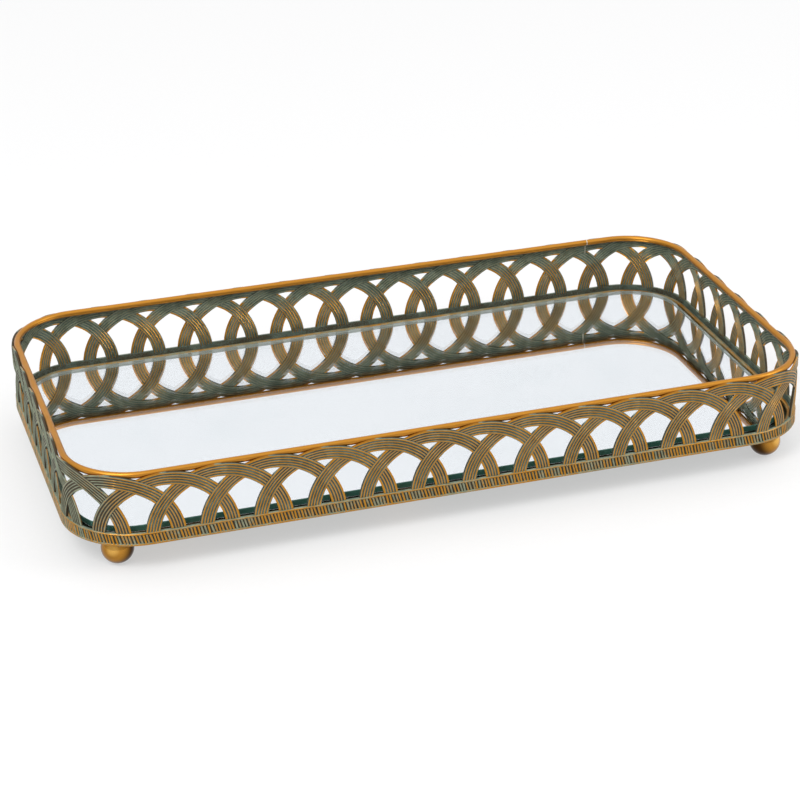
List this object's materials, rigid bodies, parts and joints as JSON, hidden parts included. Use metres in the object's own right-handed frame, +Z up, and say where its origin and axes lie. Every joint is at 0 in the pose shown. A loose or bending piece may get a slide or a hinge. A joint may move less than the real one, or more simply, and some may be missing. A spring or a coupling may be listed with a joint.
{
  "type": "vanity tray",
  "caption": "Rounded rectangular mirror tray with a pierced gallery of interlaced arches, a round wire rim and ball feet, for perfume bottles on a dresser.",
  "frame": {"origin": "on the surface that the feet stand on, under the middle of the tray", "axes": "+Z up, +X along the tray's length, +Y towards the back wall that has the gallery's seam"},
  "size_m": [0.3512, 0.1836, 0.0484],
  "materials": {
    "gallery_brass": "antique brass with grey-green patina in the hollows",
    "wire_brass": "satin gold",
    "plate_brass": "satin antique brass",
    "foot_brass": "satin gold",
    "mirror_glass": "polished",
    "mirror_backing": "polished silver under paint",
    "adhesive": "matte",
    "screw_steel": "plain"
  },
  "bodies": {
    "root": {"gallery_front": "gallery_brass", "gallery_back": "gallery_brass", "gallery_left": "gallery_brass", "gallery_right": "gallery_brass", "gallery_corner_front_left": "gallery_brass", "gallery_corner_front_right": "gallery_brass", "gallery_corner_back_left": "gallery_brass", "gallery_corner_back_right": "gallery_brass", "rim_wire": "wire_brass", "foot_wire": "wire_brass", "base_plate": "plate_brass", "mirror_glass": "mirror_glass", "mirror_backing": "mirror_backing", "adhesive_sheet": "adhesive", "foot_front_left": "foot_brass", "foot_screw_front_left": "screw_steel", "foot_front_right": "foot_brass", "foot_screw_front_right": "screw_steel", "foot_back_left": "foot_brass", "foot_screw_back_left": "screw_steel", "foot_back_right": "foot_brass", "foot_screw_back_right": "screw_steel"}
  },
  "joints": []
}
